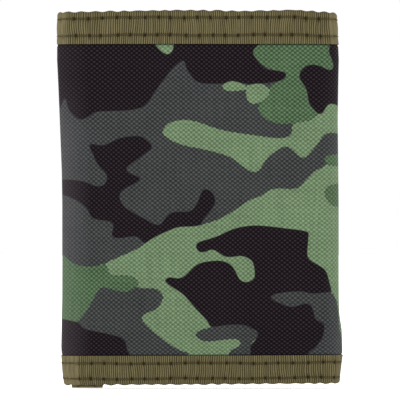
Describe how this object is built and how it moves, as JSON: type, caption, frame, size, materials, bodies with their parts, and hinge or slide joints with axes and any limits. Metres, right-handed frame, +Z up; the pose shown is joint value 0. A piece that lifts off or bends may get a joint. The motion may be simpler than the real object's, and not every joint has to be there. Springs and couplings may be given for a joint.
{
  "type": "trifold wallet",
  "caption": "Woven camouflage fabric wallet that folds in three, with bound edges, card pockets, an identity window, hook-and-loop closure and a zipped coin pocket.",
  "frame": {"origin": "middle of the underside of the closed wallet, halfway through its thickness", "axes": "+Z up along the folds, -Y out of the outside of the centre panel, +X towards the fold of the outer flap"},
  "size_m": [0.0922, 0.0192, 0.1235],
  "materials": {
    "camo_fabric": "plain-woven coated polyester with a four-colour camouflage print",
    "lining_fabric": "fine black woven nylon",
    "binding_tape": "olive ribbed grosgrain tape",
    "thread": "olive polyester sewing thread",
    "clear_vinyl": "clear flexible vinyl",
    "hook_tape": "black nylon hook tape",
    "loop_tape": "black brushed loop tape",
    "zip_tape": "black herringbone zip tape",
    "zip_coil": "black nylon coil",
    "zip_metal": "dark satin zinc alloy"
  },
  "bodies": {
    "centre": {"card_pocket_back": "lining_fabric", "card_pocket_back_binding": "binding_tape", "card_pocket_front": "lining_fabric", "card_pocket_front_binding": "binding_tape", "card_pocket_middle": "lining_fabric", "card_pocket_middle_binding": "binding_tape", "centre_bottom_binding": "binding_tape", "centre_lining": "lining_fabric", "centre_lining_binding": "binding_tape", "centre_shell": "camo_fabric", "centre_stitching": "thread", "centre_top_binding": "binding_tape"},
    "outer_spine": {"outer_spine_bottom_binding": "binding_tape", "outer_spine_lining": "lining_fabric", "outer_spine_lining_binding": "binding_tape", "outer_spine_shell": "camo_fabric", "outer_spine_stitching": "thread", "outer_spine_top_binding": "binding_tape"},
    "outer_flap": {"coin_pocket_lining": "lining_fabric", "hook_strip": "hook_tape", "outer_flap_bottom_binding": "binding_tape", "outer_flap_lining": "lining_fabric", "outer_flap_lining_binding": "binding_tape", "outer_flap_shell_lower": "camo_fabric", "outer_flap_shell_upper": "camo_fabric", "outer_flap_side_binding": "binding_tape", "outer_flap_stitching": "thread", "outer_flap_top_binding": "binding_tape", "zip_coil_lower": "zip_coil", "zip_coil_upper": "zip_coil", "zip_end_stop": "zip_metal", "zip_end_tab": "camo_fabric", "zip_tape_lower": "zip_tape", "zip_tape_upper": "zip_tape"},
    "inner_spine": {"inner_spine_bottom_binding": "binding_tape", "inner_spine_lining": "lining_fabric", "inner_spine_lining_binding": "binding_tape", "inner_spine_shell": "camo_fabric", "inner_spine_stitching": "thread", "inner_spine_top_binding": "binding_tape"},
    "inner_flap": {"id_window_frame": "binding_tape", "id_window_sheet": "clear_vinyl", "inner_flap_bottom_binding": "binding_tape", "inner_flap_lining": "lining_fabric", "inner_flap_lining_binding": "binding_tape", "inner_flap_shell": "camo_fabric", "inner_flap_side_binding": "binding_tape", "inner_flap_stitching": "thread", "inner_flap_top_binding": "binding_tape", "loop_strip": "loop_tape"},
    "zip_slider": {"zip_slider": "zip_metal"},
    "zip_puller": {"zip_puller": "zip_metal"}
  },
  "joints": [
    {"name": "outer_fold", "type": "hinge", "parent": "centre", "child": "outer_spine", "pos_m": [0.0445, -0.00808, 0], "axis": [0, 0, -1], "range_deg": [0, 90]},
    {"name": "outer_flap_crease", "type": "hinge", "parent": "outer_spine", "child": "outer_flap", "pos_m": [0.0445, 0.00613, 0], "axis": [0, 0, -1], "range_deg": [0, 90]},
    {"name": "inner_fold", "type": "hinge", "parent": "centre", "child": "inner_spine", "pos_m": [-0.0445, -0.00808, 0], "axis": [0, 0, 1], "range_deg": [0, 90], "deforming": ["id_window_frame", "id_window_sheet", "inner_flap_bottom_binding", "inner_flap_lining", "inner_flap_lining_binding", "inner_flap_shell", "inner_flap_side_binding", "inner_flap_stitching", "inner_flap_top_binding", "loop_strip"]},
    {"name": "inner_flap_crease", "type": "hinge", "parent": "inner_spine", "child": "inner_flap", "pos_m": [-0.0445, 0.00013, 0], "axis": [0, 0, 1], "range_deg": [0, 90]},
    {"name": "zip_slide", "type": "slide", "parent": "outer_flap", "child": "zip_slider", "axis": [-1, 0, 0], "range_m": [0, 0.058]},
    {"name": "zip_puller_swing", "type": "hinge", "parent": "zip_slider", "child": "zip_puller", "pos_m": [0.0315, 0.00852, 0.088], "axis": [0, 0, -1], "range_deg": [0, 180]}
  ],
  "couplings": [
    {"joint": "outer_flap_crease", "follows": "outer_fold", "ratio": 1},
    {"joint": "inner_flap_crease", "follows": "inner_fold", "ratio": 1}
  ]
}
